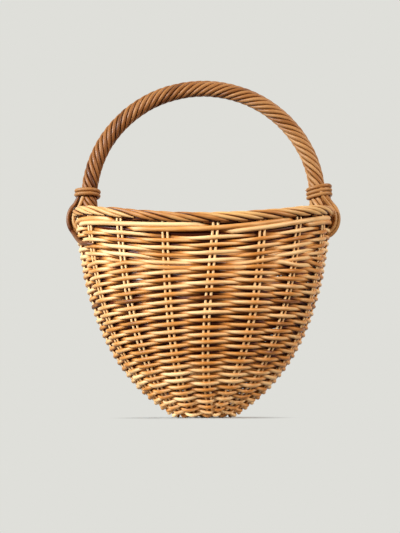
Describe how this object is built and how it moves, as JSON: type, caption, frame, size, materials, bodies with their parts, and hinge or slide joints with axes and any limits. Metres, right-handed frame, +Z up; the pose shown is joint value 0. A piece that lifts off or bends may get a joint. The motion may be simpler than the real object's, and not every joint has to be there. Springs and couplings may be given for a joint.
{
  "type": "rattan basket bag",
  "caption": "Oval rattan basket bag with a small flat base, a rolled cane border and a fixed bow handle roped with cane and lashed at both feet.",
  "frame": {"origin": "on the floor under the middle of the base", "axes": "+Z up, X from end to end in the plane of the handle, -Y is the front"},
  "size_m": [0.2824, 0.1842, 0.3523],
  "materials": {
    "woven_cane": "satin",
    "base_cane": "satin",
    "border_cane": "satin",
    "bow_cane": "satin",
    "strand_cane": "satin",
    "lashing_cane": "satin",
    "loop_cane": "satin"
  },
  "bodies": {
    "root": {"woven_body": "woven_cane", "base_canes_long": "base_cane", "base_canes_short": "base_cane", "rolled_border": "border_cane", "handle_bow": "bow_cane", "handle_strand_1": "strand_cane", "handle_strand_2": "strand_cane", "handle_strand_3": "strand_cane", "handle_strand_4": "strand_cane", "handle_strand_5": "strand_cane", "handle_strand_6": "strand_cane", "handle_strand_7": "strand_cane", "handle_strand_8": "strand_cane", "lashing_right": "lashing_cane", "lashing_left": "lashing_cane", "loop_cane_right_front": "loop_cane", "loop_cane_right_rear": "loop_cane", "loop_cane_left_front": "loop_cane", "loop_cane_left_rear": "loop_cane"}
  },
  "joints": []
}
